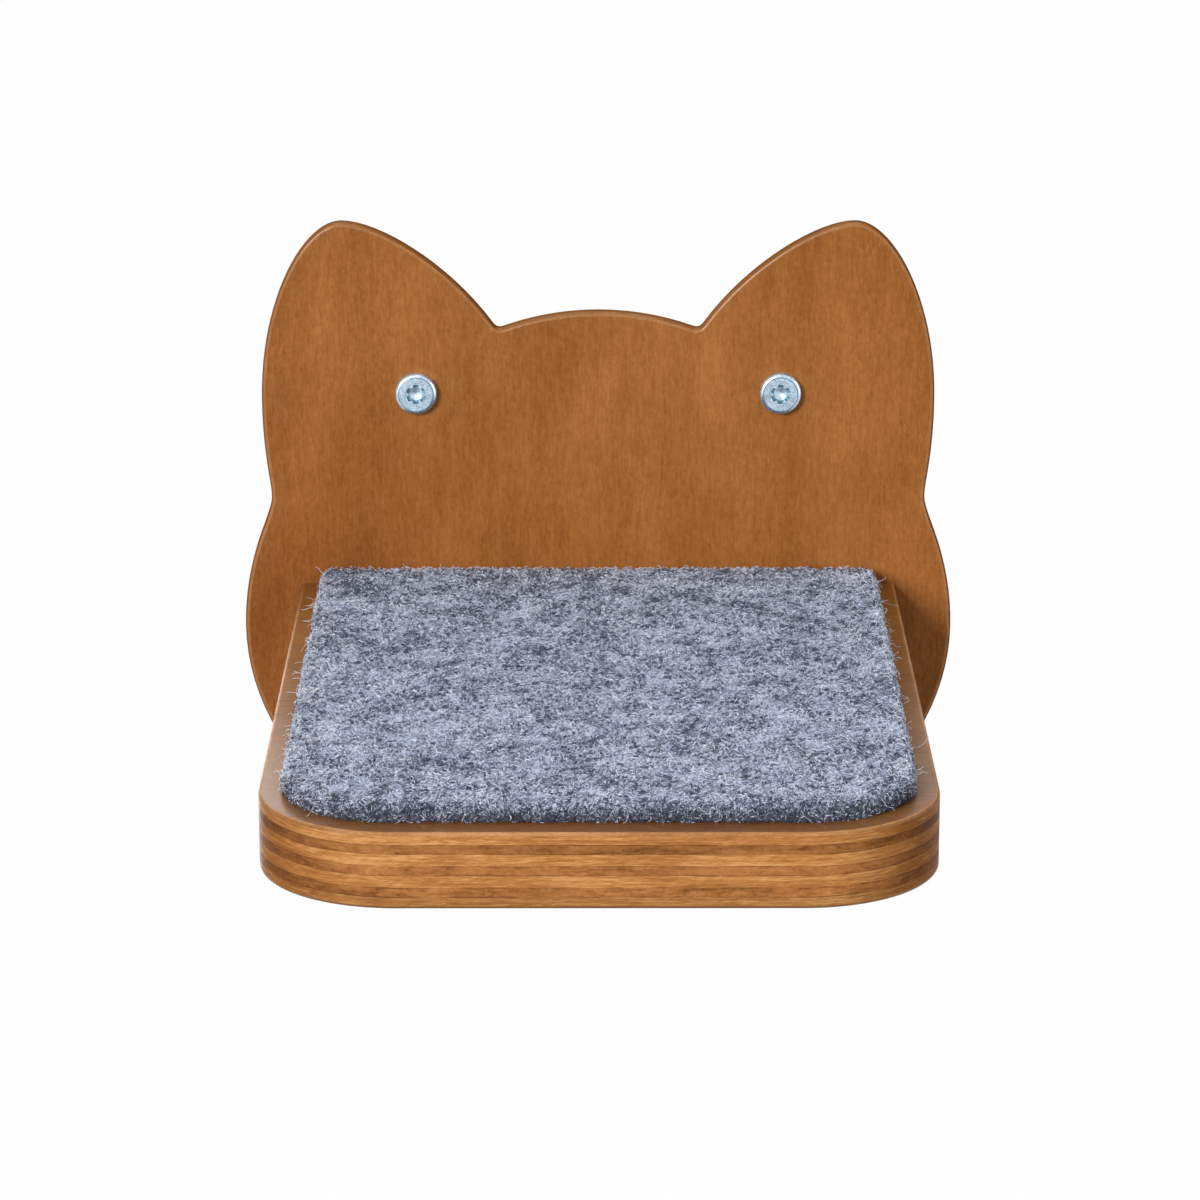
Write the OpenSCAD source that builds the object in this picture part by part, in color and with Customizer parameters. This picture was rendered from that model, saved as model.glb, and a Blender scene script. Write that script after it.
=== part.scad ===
// Cat wall shelf. A cat-head panel of thin plywood lies flat on a wall under two screws, a thick plywood
// shelf board with round front corners stands out of it, and a felt mat lies on strips of hook tape on the board.
// Millimetres. The wall is the plane y = 0, the shelf stands out towards -Y and +Z is up.
// The origin lies midway between the two wall screws, on the panel's back face.

/* [Back panel] */
// Width across the cheeks
panel_w = 200.6; // [190:0.2:240]
// Height from the chin to the ear tips
panel_h = 195.3; // [180:0.1:230]
// Thickness of the panel
panel_t = 5; // [4.5:0.5:9]
// Height of the ear tips above the wall screws
ear_rise = 48.4; // [42:0.2:60]
// Height of the crown, between the ears, above the wall screws
crown_rise = 23; // [18:0.1:27]
// Depth of the cheeks' widest line below the wall screws
cheek_drop = 68.4; // [64:0.2:76]

/* [Shelf board] */
// Width of the board
board_w = 168; // [150:1:180]
// Depth of the board, from the panel's front face to its own front edge
board_d = 220.5; // [160:0.5:300]
// Thickness of one ply
ply_t = 2.76; // [2.2:0.02:3.2]
// Number of plies
ply_count = 7; // [7:2:9]
// Radius of the board's two front corners
board_corner_r = 34.7; // [15:0.1:50]
// Depth of the board's top face below the wall screws
seat_drop = 55.5; // [50:0.1:64]

/* [Felt mat] */
// Thickness of the mat
mat_t = 4.6; // [3:0.1:8]
// Board left bare beside the mat
mat_side_inset = 6; // [3:0.5:12]
// Board left bare in front of the mat
mat_front_inset = 7.6; // [3:0.1:12]
// Gap between the mat and the panel
mat_back_gap = 2.6; // [1:0.1:6]
// Radius of the mat's two back corners
mat_back_r = 4.5; // [2:0.5:10]

/* [Hook tape] */
// Thickness of the tape
tape_t = 0.9; // [0.5:0.1:1.5]
// Width of a strip
tape_w = 20; // [15:1:25]
// Length of a strip
tape_len = 124; // [80:1:126]

/* [Wall screws] */
// Distance between the two screws
screw_spacing = 102.2; // [90:0.2:120]
// Outside diameter of the thread
screw_d = 6; // [5:0.5:7]
// Length of the threaded shank behind the panel, point included
screw_reach = 51; // [40:1:80]
// Diameter of the flat round head
screw_head_d = 11.5; // [11:0.1:14]
// Height of the head
screw_head_t = 2.8; // [2.4:0.1:4]
// Width of the six-lobed drive recess, from lobe to lobe
drive_d = 5.6; // [4.4:0.1:5.6]

/* [Shelf screws] */
// Distance of the outer screws from the board's sides
shelf_screw_inset = 28; // [20:1:35]
// Outside diameter of the thread
shelf_screw_d = 5; // [4:0.5:6]
// Length from the head's face to the point
shelf_screw_len = 50; // [40:1:80]

/* [Hidden] */
$fn = 64;
// Clearances: round pieces in wood, clearance holes for the wall screws, ends of blind bores
snug_gap = 0.1;
wall_hole_gap = 0.35;
bore_end_gap = 0.6;
// How far a cut runs past the face that it opens
past = 1;

half_w = panel_w / 2;
chin_drop = panel_h - ear_rise - cheek_drop;
board_t = ply_count * ply_t;
board_z = -seat_drop - board_t;
joint_z = board_z + board_t / 2;
board_front = -panel_t - board_d;
mat_w = board_w - 2 * mat_side_inset;
mat_d = board_d - mat_front_inset - mat_back_gap;
mat_front = board_front + mat_front_inset;
mat_front_r = board_corner_r - mat_front_inset;
mat_z = -seat_drop + tape_t;
tape_pitch = (mat_d - 2 * tape_w) / 2;
screw_x = screw_spacing / 2;
screw_r = screw_d / 2;
screw_neck_r = 0.75 * screw_r;
screw_head_r = screw_head_d / 2;
screw_rim_r = 0.3 * screw_head_t;
screw_point = 1.7 * screw_d;
drive_depth = 0.75 * screw_head_t;
shelf_screw_r = shelf_screw_d / 2;
shelf_neck_r = 0.76 * shelf_screw_r;
shelf_head_r = 1.9 * shelf_screw_r;
shelf_head_sink = 0.3;
shelf_head_cone = shelf_head_r - shelf_neck_r;
shelf_point = 1.6 * shelf_screw_d;
shelf_screw_spacing = board_w / 2 - shelf_screw_inset;
shelf_drive_d = 0.9 * shelf_screw_d;
shelf_drive_depth = 0.45 * shelf_screw_d;

// Landmarks of the cat's face, as [x, z] on its right half
valley_x = 0.282 * half_w;
crown_r = 0.778 * half_w;
crown_angle = asin(valley_x / crown_r);
valley = [valley_x, crown_rise - crown_r * (1 - cos(crown_angle))];
valley_round = 2;
ear_slope = 54.2;
ear_tip = [0.7142 * half_w, ear_rise];
ear_side = [0.942 * half_w, -0.032 * cheek_drop];
waist = [0.919 * half_w, -0.446 * cheek_drop];
cheek_rise = 0.967 * (crown_rise + cheek_drop);
cheek_angle = 17.9;

// Points of a cubic curve over four control points, without its last point
function curve(p, n) =
  [for (i = [0 : n - 1])
    let (t = i / n, s = 1 - t)
    s * s * s * p[0] + 3 * s * s * t * p[1] + 3 * s * t * t * p[2] + t * t * t * p[3]];

// Points of an elliptic arc from angle a0 to a1, without its last point
function arc(centre, rx, rz, a0, a1, n) =
  [for (i = [0 : n - 1])
    let (a = a0 + (a1 - a0) * i / n)
    centre + [rx * cos(a), rz * sin(a)]];

function ray(angle) = [cos(angle), sin(angle)];

cheek_line = [0, -cheek_drop];
cheek_top = cheek_line + [half_w * cos(cheek_angle), cheek_rise * sin(cheek_angle)];
cheek_run = atan2(-cheek_rise * cos(cheek_angle), half_w * sin(cheek_angle));
crown_centre = [0, crown_rise - crown_r];
round_angle = crown_angle - valley_round / crown_r * 180 / PI;
valley_in = crown_centre + crown_r * ray(90 - round_angle);
valley_out = valley + valley_round * ray(ear_slope);
// How far each curve is drawn straight on from its ends
valley_pull = 0.7 * valley_round;
ear_inner_pull = 0.7 * (ear_tip[1] - valley[1]);
ear_outer_pull = 0.58 * (ear_tip[1] - ear_side[1]);
ear_tip_pull = [0.1007 * half_w, 0];
ear_side_pull = 0.581 * (ear_side[1] - waist[1]);
waist_pull = 0.161 * (ear_side[1] - waist[1]);
cheek_pull = waist_pull / 2;

// The right half of the face, from the crown over the ear and the cheek down to the chin
face_half = concat(
  arc(crown_centre, crown_r, crown_r, 90, 90 - round_angle, 10),
  curve([valley_in, valley_in + valley_pull * ray(-round_angle),
         valley_out - valley_pull * ray(ear_slope), valley_out], 5),
  curve([valley_out, valley_out + ear_inner_pull * ray(ear_slope), ear_tip - ear_tip_pull, ear_tip], 16),
  curve([ear_tip, ear_tip + ear_tip_pull, ear_side + [0, ear_outer_pull], ear_side], 24),
  curve([ear_side, ear_side - [0, ear_side_pull], waist + [0, waist_pull], waist], 10),
  curve([waist, waist - [0, cheek_pull], cheek_top - cheek_pull * ray(cheek_run), cheek_top], 6),
  arc(cheek_line, half_w, cheek_rise, cheek_angle, 0, 8),
  arc(cheek_line, half_w, chin_drop, 0, -90, 30),
  [cheek_line - [0, chin_drop]]);

// The whole face: the half and its mirror image, which leaves out the two points on the middle line
face_outline = concat(
  face_half,
  [for (i = [len(face_half) - 2 : -1 : 1]) [-face_half[i][0], face_half[i][1]]]);

// A cylinder along +Y from y0 to y1
module rod(r, y0, y1) {
  translate([0, y0, 0])
    rotate([-90, 0, 0])
      cylinder(r = r, h = y1 - y0);
}

// A profile of [radius, y] points turned about the Y axis
module turned(profile) {
  rotate([-90, 0, 0])
    rotate_extrude()
      polygon(profile);
}

// A flat slab with its front edge on y = 0, its underside on z = 0 and round corners
module slab(w, d, t, front_r, back_r) {
  linear_extrude(t)
    union() {
      translate([-w / 2, front_r])
        square([w, d - front_r - back_r]);
      translate([-w / 2 + front_r, 0])
        square([w - 2 * front_r, d - back_r]);
      if (back_r > 0)
        translate([-w / 2 + back_r, front_r])
          square([w - 2 * back_r, d - front_r]);
      for (side = [-1, 1]) {
        translate([side * (w / 2 - front_r), front_r])
          circle(front_r);
        if (back_r > 0)
          translate([side * (w / 2 - back_r), d - back_r])
            circle(back_r);
      }
    }
}

// Places one child at one of the shelf joint's screws
module at_joint(x) {
  translate([x, 0, joint_z])
    children();
}

shelf_screw_xs = [for (i = [-1 : 1]) i * shelf_screw_spacing];

module back_panel() {
  color("#a26638")
    difference() {
      rotate([90, 0, 0])
        linear_extrude(panel_t)
          polygon(face_outline);
      for (side = [-1, 1])
        translate([side * screw_x, 0, 0])
          rod(screw_r + wall_hole_gap, -panel_t - past, past);
      for (x = shelf_screw_xs)
        at_joint(x) {
          rod(shelf_neck_r + snug_gap, -panel_t - past, past);
          countersink();
        }
    }
}

// The room for a shelf screw's head, open at the panel's back face
module countersink() {
  room_r = shelf_head_r + snug_gap;
  neck_r = shelf_neck_r + snug_gap;
  turned([[0, past], [room_r, past], [room_r, -shelf_head_sink - snug_gap],
          [neck_r, -shelf_head_sink - snug_gap - room_r + neck_r], [0, -shelf_head_sink - snug_gap - room_r]]);
}

module shelf_board() {
  color("#bd8049")
    difference() {
      translate([0, board_front, board_z])
        slab(board_w, board_d, board_t, board_corner_r, 0);
      for (x = shelf_screw_xs)
        at_joint(x)
          rod(shelf_screw_r + snug_gap, -shelf_head_sink - shelf_screw_len - bore_end_gap, -panel_t + past);
    }
}

module felt_mat() {
  color("#8f94a5")
    translate([0, mat_front, mat_z])
      slab(mat_w, mat_d, mat_t, mat_front_r, mat_back_r);
}

// One strip across the board, counted from the front
module hook_tape(row) {
  color("#26262a")
    translate([-tape_len / 2, mat_front + tape_w / 2 + row * tape_pitch, -seat_drop])
      cube([tape_len, tape_w, tape_t]);
}

module hook_tape_front() hook_tape(0);

module hook_tape_middle() hook_tape(1);

module hook_tape_rear() hook_tape(2);

// Round head with a rolled rim on the panel's front, plain neck in the panel, thread and point in the wall
module wall_screw(side) {
  face_y = -panel_t - screw_head_t;
  rim = arc([screw_head_r - screw_rim_r, face_y + screw_rim_r], screw_rim_r, screw_rim_r, -90, 0, 6);
  color("#b8c4cf")
    translate([side * screw_x, 0, 0])
      difference() {
        turned(concat(
          [[0, face_y]],
          rim,
          [[screw_head_r, face_y + screw_rim_r], [screw_head_r, -panel_t], [screw_neck_r, -panel_t],
           [screw_neck_r, 0], [screw_r, 0], [screw_r, screw_reach - screw_point], [0, screw_reach]]));
        translate([0, face_y, 0])
          rotate([0, 0, 180])
            drive_recess(drive_d, drive_depth);
      }
}

// A recess of six round lobes, one of them on top, cut towards -Y from a face on y = 0
module drive_recess(d, depth) {
  lobes =
    [for (i = [0 : 71])
      let (a = 5 * i)
      d / 2 * (0.85 - 0.15 * cos(6 * a)) * ray(a)];
  translate([0, past, 0])
    rotate([90, 0, 0])
      linear_extrude(depth + past)
        polygon(lobes);
}

module wall_screw_left() wall_screw(-1);

module wall_screw_right() wall_screw(1);

// Countersunk head in the panel's back, plain neck in the panel, thread and point in the board's back edge
module shelf_screw(i) {
  face_y = -shelf_head_sink;
  tip_y = face_y - shelf_screw_len;
  color("#b8c4cf")
    at_joint(shelf_screw_xs[i])
      difference() {
        turned([[0, face_y], [shelf_head_r, face_y], [shelf_neck_r, face_y - shelf_head_cone],
                [shelf_neck_r, -panel_t], [shelf_screw_r, -panel_t],
                [shelf_screw_r, tip_y + shelf_point], [0, tip_y]]);
        translate([0, face_y, 0])
          drive_recess(shelf_drive_d, shelf_drive_depth);
      }
}

module shelf_screw_left() shelf_screw(0);

module shelf_screw_middle() shelf_screw(1);

module shelf_screw_right() shelf_screw(2);

back_panel();
shelf_board();
felt_mat();
hook_tape_front();
hook_tape_middle();
hook_tape_rear();
wall_screw_left();
wall_screw_right();
shelf_screw_left();
shelf_screw_middle();
shelf_screw_right();
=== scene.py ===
"""Looks of the cat wall shelf.

Stained plywood, zinc screws, a needle-felt mat on hook tape, and a white studio. Metres, in the frame of
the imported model: the wall is y = 0, the shelf stands out towards -Y and +Z is up.
"""
import math

import bmesh
import bpy
import numpy as np
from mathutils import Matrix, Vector, noise


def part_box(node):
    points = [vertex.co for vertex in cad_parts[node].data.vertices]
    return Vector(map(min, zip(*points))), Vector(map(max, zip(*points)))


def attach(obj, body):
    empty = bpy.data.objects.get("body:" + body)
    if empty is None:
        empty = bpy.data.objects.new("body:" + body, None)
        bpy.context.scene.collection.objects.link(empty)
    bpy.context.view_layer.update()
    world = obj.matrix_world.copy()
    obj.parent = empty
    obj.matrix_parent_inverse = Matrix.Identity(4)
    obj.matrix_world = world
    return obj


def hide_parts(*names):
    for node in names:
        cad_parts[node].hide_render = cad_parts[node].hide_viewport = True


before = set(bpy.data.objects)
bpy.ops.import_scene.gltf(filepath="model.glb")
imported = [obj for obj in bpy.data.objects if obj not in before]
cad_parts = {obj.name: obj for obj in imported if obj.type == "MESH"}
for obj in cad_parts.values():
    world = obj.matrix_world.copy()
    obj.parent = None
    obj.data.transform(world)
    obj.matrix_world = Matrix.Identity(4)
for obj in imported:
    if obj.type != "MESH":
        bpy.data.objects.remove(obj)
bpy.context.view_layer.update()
MM = 0.001
MICRON = 1e-6
TURN = 2 * math.pi

# Nodes of the CAD model
PANEL_LOW, PANEL_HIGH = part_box("back_panel")
BOARD_LOW, BOARD_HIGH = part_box("shelf_board")
MAT_LOW, MAT_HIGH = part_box("felt_mat")
SHELF_SCREWS = ("shelf_screw_left", "shelf_screw_middle", "shelf_screw_right")
WALL_SCREWS = ("wall_screw_left", "wall_screw_right")
TAPES = ("hook_tape_front", "hook_tape_middle", "hook_tape_rear")

# Camera, fitted to the board's edges in the photograph
IMAGE_PX = 1200
FOCAL_PX = 4795
PITCH_DEG = 16
CAMERA_AHEAD = 1.089  # in front of the board's front edge
CAMERA_ABOVE = 0.3704  # above the board's top face
CAMERA_ASIDE = -1.7 * MM
YAW_DEG = -0.097
SENSOR_MM = 36

# Plywood sizes
PANEL_ARRIS = 1.2 * MM
# arris bands with a paler colour: partly wear, partly painted highlight
PANEL_WORN_AND_LIT_BANDS = 2
BOARD_ARRIS = 0.8 * MM
BOARD_CORNER = 34.7 * MM

# Felt mat sizes
MAT_FRONT_CORNER = 27.1 * MM
MAT_BACK_CORNER = 4.5 * MM
MAT_EDGE = 1.6 * MM
MAT_CELL = 1.3 * MM

# Screw and hole sizes that the node boxes don't give
WALL_THREAD_R = 3 * MM
WALL_NECK_R = 2.25 * MM
WALL_HOLE_R = 3.35 * MM
SHELF_THREAD_R = 2.5 * MM
SHELF_NECK_R = 1.9 * MM
NECK_HOLE_R = 2.0 * MM
SCREW_GAP = 0.1 * MM
BORE_END_GAP = 0.6 * MM
CUT_PAST = 1 * MM  # how far a cutter reaches out of the wood
THREAD_PITCH = 2.6 * MM
THREAD_DEPTH = 0.9 * MM
LOBES = 6
SCREW_SIDES = 144
HOLE_SIDES = 48
SHARP_DEG = 24  # edges of a screw sharper than this are not shaded smooth
# Of a screw's finishes, the recess one is painted shade: a dark zinc in the lobes and in the head's groove
# the roll finish is a rougher zinc, a little darker: painted shade of the rim's dark reflection
PLATE, RECESS_SHADE, RIM, ROLL_SHADE = range(4)  # a screw's finishes
# bands of painted shade in the lobes
RECESS_BANDS = (1, 2)  # the floor and walls of the lobes, from the middle of the head out


# Node materials


class Shader:
    """The node tree of a material, or of a world, with short ways to add and link nodes."""

    def __init__(self, name, world=False):
        self.owner = (bpy.data.worlds if world else bpy.data.materials).new(name)
        self.owner.use_nodes = True
        self.tree = self.owner.node_tree
        self.surface = self.tree.nodes["Background" if world else "Principled BSDF"]
        self.output = self.tree.nodes["World Output" if world else "Material Output"]

    def add(self, kind, inputs=None, **settings):
        node = self.tree.nodes.new(kind)
        for key, value in settings.items():
            setattr(node, key, value)
        for key, value in (inputs or {}).items():
            self.put(node.inputs[key], value)
        return node

    def put(self, socket, value):
        if isinstance(value, bpy.types.NodeSocket):
            self.tree.links.new(value, socket)
        else:
            socket.default_value = value

    def set(self, **inputs):
        for key, value in inputs.items():
            self.put(self.surface.inputs[key.replace("_", " ")], value)

    def math(self, operation, a, b=0.5, c=0.5):
        return self.add("ShaderNodeMath", {0: a, 1: b, 2: c}, operation=operation).outputs[0]

    def place(self):
        """Object coordinates, in metres."""
        return self.add("ShaderNodeTexCoord").outputs["Object"]

    def axis(self, vector, name):
        return self.add("ShaderNodeSeparateXYZ", {"Vector": vector}).outputs[name]

    def sideways(self, turn):
        """How far the surface faces left or right, from 0 to 1 between two cosines."""
        normal = self.add("ShaderNodeTexCoord").outputs["Normal"]
        return self.spread(self.math("ABSOLUTE", self.axis(normal, "X")), *turn)

    def noise(self, vector, per_metre, detail=3.0, rough=0.55, distortion=0.0):
        """Noise with a number of cells per metre, one number or one along each axis."""
        each = per_metre if isinstance(per_metre, tuple) else (per_metre,) * 3
        scaled = self.add("ShaderNodeVectorMath", {0: vector, 1: each}, operation="MULTIPLY").outputs[0]
        settings = {"Vector": scaled, "Scale": 1.0}
        settings.update(Detail=detail, Roughness=rough, Distortion=distortion)
        return self.add("ShaderNodeTexNoise", settings).outputs[0]

    def blend_sum(self, *parts):
        """The sum of values, each times a weight."""
        total = self.math("MULTIPLY", *parts[0])
        for value, weight in parts[1:]:
            total = self.math("MULTIPLY_ADD", value, weight, total)
        return total

    def ramp(self, value, stops, interpolation="LINEAR"):
        """A colour ramp over (position, colour) stops."""
        node = self.add("ShaderNodeValToRGB", {"Fac": value})
        elements = node.color_ramp.elements
        node.color_ramp.interpolation = interpolation
        while len(elements) < len(stops):
            elements.new(0.5)
        for element, (position, colour) in zip(elements, stops):
            element.position = position
            element.color = (*colour, 1)
        return node.outputs["Color"]

    def spread(self, value, low, high, to_low=0.0, to_high=1.0):
        """Maps low..high to to_low..to_high, clamped."""
        inputs = {"Value": value, "From Min": low, "From Max": high, "To Min": to_low, "To Max": to_high}
        return self.add("ShaderNodeMapRange", inputs).outputs[0]

    def mix(self, factor, a, b, blend="MIX"):
        node = self.add("ShaderNodeMix", data_type="RGBA", blend_type=blend)
        for index, value in ((0, factor), (6, a), (7, b)):
            if isinstance(value, tuple):
                value = (*value, 1)
            self.put(node.inputs[index], value)
        return node.outputs[2]

    def tinted(self, factor, colour, tint):
        """A colour times a tint, by a share."""
        return self.mix(factor, colour, self.mix(1.0, colour, tint, "MULTIPLY"))

    def bump(self, height, distance, strength):
        node = self.add("ShaderNodeBump", {"Height": height, "Distance": distance, "Strength": strength})
        self.set(Normal=node.outputs[0])

    def show_white(self, kind, share=1.0):
        """Lets the camera and mirrors see white by a share, and changes no other light."""
        path = self.add("ShaderNodeLightPath").outputs
        mirrored = self.math("MAXIMUM", path["Is Glossy Ray"], path["Is Transmission Ray"])
        seen = self.math("MAXIMUM", path["Is Camera Ray"], mirrored)
        white = self.add(kind, {"Color": (1, 1, 1, 1), "Strength": 1.0}).outputs[0]
        inputs = {0: self.math("MULTIPLY", seen, share), 1: self.surface.outputs[0], 2: white}
        self.put(self.output.inputs["Surface"], self.add("ShaderNodeMixShader", inputs).outputs[0])


def along(axis, across, fibre):
    """Cells per metre for a texture whose fibres run along an axis."""
    return tuple(fibre if name == axis else across for name in "XYZ")


def veneer(name, grain, dark, middle, light, shine=0.12, coat=0.0, rough=0.5, painted_shade_patch=None, sides=None):
    """Stained face veneer with its fibres along one axis.

    A patch, given by its centre, reach and tint, is painted shade: darker towards its centre, where less
    light falls. sides is a tint of painted shade that comes in as the surface turns to face left or right,
    and the two cosines between which it does.
    """
    s = Shader(name)
    at = s.place()
    cloud = s.noise(at, along(grain, 48, 26), 3, 0.55)
    bands = s.noise(at, along(grain, 85, 7), 3, 0.55, 0.4)
    smudge = s.noise(at, along(grain, 150, 38), 3, 0.6, 0.6)
    fibres = s.noise(at, along(grain, 1250, 150), 3, 0.65, 0.9)
    fleck = s.noise(at, along(grain, 900, 620), 3, 0.72, 0.5)
    pores = s.noise(at, along(grain, 2100, 230), 2, 0.5, 0.5)
    tone = s.blend_sum((cloud, 0.21), (bands, 0.15), (smudge, 0.12), (fibres, 0.24), (fleck, 0.28))
    colour = s.ramp(tone, [(0.4, dark), (0.5, middle), (0.6, light)])
    # painted shade: darker towards the patch's centre
    if painted_shade_patch:
        centre, reach, tint = painted_shade_patch
        away = s.add("ShaderNodeVectorMath", {0: at, 1: centre}, operation="DISTANCE").outputs["Value"]
        colour = s.tinted(s.spread(away, reach, 0.0), colour, tint)
    # painted shade on surfaces that turn left or right
    if sides:
        tint, turn = sides
        colour = s.tinted(s.sideways(turn), colour, tint)
    pore = s.spread(pores, 0.58, 0.74)
    s.set(Base_Color=s.mix(s.math("MULTIPLY", pore, 0.3), colour, dark))
    s.set(Roughness=s.spread(fibres, 0.3, 0.7, rough + 0.06, rough - 0.06))
    s.bump(s.math("SUBTRACT", fibres, s.math("MULTIPLY", pore, 0.6)), 0.1 * MM, 0.4)
    s.set(Specular_IOR_Level=shine, Coat_Weight=coat, Coat_Roughness=rough * 0.64)
    return s.owner


def ply_edge(name, stack, low, high, tints, first, long, end, glued, sides, turn, shine=0.0):
    """Sanded plywood edge.

    Plies lie one on another along the stack axis from low to high, each with a tint, and first is the
    outer ply's share of the thickness of two. Every other ply shows its long grain, and the rest their
    darker, speckled end grain. As the edge turns to face left or right, between the two cosines in turn,
    its plies take on the two tints in sides, first those with long grain. glued is the strength of the
    glue lines.
    """
    s = Shader(name)
    at = s.place()
    pairs = (len(tints) - 1) / 2 + first
    wobble = s.noise(at, 75, 3)
    level = s.math("MULTIPLY_ADD", wobble, PLY_WOBBLE, s.axis(at, stack))
    share = s.spread(level, low + PLY_WOBBLE / 2, high + PLY_WOBBLE / 2)
    inside = s.math("FRACT", s.math("MULTIPLY", share, pairs * 0.9999))
    odd = s.math("GREATER_THAN", inside, first)
    facing = s.sideways(turn)
    lines = s.noise(at, along(stack, 90, 1600), 3, 0.62, 0.8)
    dashes = s.noise(at, along(stack, 380, 2700), 2, 0.6, 0.5)
    leaning = {"Vector": at, "Rotation": FIGURE_SLANT}
    slant = s.add("ShaderNodeVectorRotate", leaning, rotation_type="EULER_XYZ").outputs[0]
    figure = s.noise(slant, along(stack, 170, 1300), 3, 0.62, 0.7)
    shade = s.noise(at, along(stack, 26, 90), 3, 0.6)
    long_tone = s.blend_sum((lines, 0.42), (dashes, 0.22), (figure, 0.12), (shade, 0.24))
    speckle = s.noise(at, along(stack, 800, 900), 4, 0.7, 0.4)
    blots = s.noise(at, along(stack, 120, 620), 3, 0.65, 0.9)
    end_tone = s.blend_sum((speckle, 0.3), (blots, 0.45), (shade, 0.25))
    long_colour = s.ramp(long_tone, [(0.37, long[0]), (0.49, long[1]), (0.6, long[2])])
    end_colour = s.ramp(end_tone, [(0.38, end[0]), (0.5, end[1]), (0.62, end[2])])
    colour = s.mix(odd, long_colour, end_colour)
    steps = [((i // 2 + i % 2 * first) / pairs, (tint,) * 3) for i, tint in enumerate(tints)]
    colour = s.mix(1.0, colour, s.ramp(share, steps, "CONSTANT"), "MULTIPLY")
    colour = s.tinted(facing, colour, s.mix(odd, *sides))
    outer = s.math("MINIMUM", inside, s.math("SUBTRACT", 1.0, inside))
    joint = s.math("MINIMUM", outer, s.math("ABSOLUTE", s.math("SUBTRACT", inside, first)))
    broken = s.spread(s.noise(at, along(stack, 130, 300), 2, 0.6), 0.35, 0.6)
    glue = s.math("MULTIPLY", s.spread(joint, 0.03, 0.008), broken)
    colour = s.mix(s.math("MULTIPLY", glue, glued), colour, GLUE)
    nick = s.spread(s.noise(at, along(stack, 240, 700), 3, 0.7), 0.69, 0.74)
    colour = s.mix(s.math("MULTIPLY", nick, 0.7), colour, GLUE)
    s.set(Base_Color=colour)
    s.set(Roughness=s.spread(long_tone, 0.35, 0.65, 0.52, 0.38))
    height = s.blend_sum((lines, 0.5), (speckle, 0.35), (glue, -0.5), (nick, -0.8))
    s.bump(height, 0.22 * MM, 0.5)
    s.set(Specular_IOR_Level=shine)
    return s.owner


def felt(name, dark, light):
    """Wool fibres: a soft sheen and a slow change of tone."""
    s = Shader(name)
    at = s.place()
    clumps = s.noise(at, 210, 3, 0.6)
    specks = s.noise(at, 1500, 2, 0.6)
    tone = s.math("MULTIPLY_ADD", clumps, 0.6, s.math("MULTIPLY", specks, 0.4))
    s.set(Base_Color=s.ramp(tone, [(0.36, dark), (0.62, light)]))
    s.set(Roughness=s.spread(specks, 0.3, 0.7, 0.95, 0.8))
    s.bump(specks, 0.3 * MM, 0.5)
    s.set(Sheen_Weight=FELT_SHEEN)
    return s.owner


def matted(name, dark, middle, light):
    """Felted ground under the loose fibres: fine curly streaks, painted shade in pits and low down."""
    s = Shader(name)
    at = s.place()
    curls = s.noise(at, (1250, 1250, 900), 3, 0.6, 1.6)
    fine = s.noise(at, 3400, 2, 0.6, 0.8)
    clumps = s.noise(at, 150, 3, 0.6)
    pits = s.noise(at, 520, 2, 0.6, 0.7)
    tone = s.blend_sum((curls, 0.45), (fine, 0.25), (clumps, 0.3))
    colour = s.ramp(tone, [(0.41, dark), (0.5, middle), (0.58, light)])
    # painted shade in the gaps between fibres
    pit = s.math("MULTIPLY", s.spread(pits, 0.53, 0.63), s.spread(clumps, 0.64, 0.42, 0.3, 1.0))
    # painted shade: darker low down on the mat's sides
    depth = s.spread(s.axis(at, "Z"), MAT_LOW.z + 0.4 * MM, MAT_HIGH.z - 1.4 * MM, 0.75, 0.0)
    s.set(Base_Color=s.mix(s.math("MAXIMUM", pit, depth), colour, dark))
    s.set(Roughness=s.spread(fine, 0.3, 0.7, 0.95, 0.8))
    s.bump(s.blend_sum((curls, 0.6), (fine, 0.3), (pit, -0.8)), 0.5 * MM, 0.7)
    s.set(Sheen_Weight=FELT_SHEEN)
    return s.owner


def zinc(name, tint, smooth, rough):
    """Bright bluish zinc plating with fine speckle and a slight orange peel."""
    s = Shader(name)
    at = s.place()
    cloud = s.noise(at, 380, 3, 0.6)
    fine = s.noise(at, 2600, 3, 0.6)
    tone = s.blend_sum((cloud, 0.25), (fine, 0.75))
    levels = (0.4, 0.72), (0.5, 1.0), (0.6, 1.25)
    s.set(Base_Color=s.ramp(tone, [(share, tuple(level * c for c in tint)) for share, level in levels]))
    s.set(Metallic=1.0)
    s.set(Roughness=s.spread(tone, 0.35, 0.65, smooth, rough))
    s.bump(fine, 0.04 * MM, 0.4)
    return s.owner


def nylon(name):
    """Black woven tape."""
    s = Shader(name)
    at = s.place()
    warp = s.math("SINE", s.math("MULTIPLY", s.axis(at, "X"), TURN / WARP_PITCH))
    weft = s.math("SINE", s.math("MULTIPLY", s.axis(at, "Y"), TURN / WEFT_PITCH))
    weave = s.math("MULTIPLY", warp, weft)
    dust = s.noise(at, 1100, 3)
    dark, light = NYLON_TONES
    s.set(Base_Color=s.ramp(s.math("MULTIPLY_ADD", weave, 0.15, dust), [(0.3, dark), (0.7, light)]))
    s.set(Roughness=s.spread(dust, 0.3, 0.7, 0.45, 0.65))
    s.bump(weave, 0.08 * MM, 0.5)
    return s.owner


# Meshes


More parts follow.
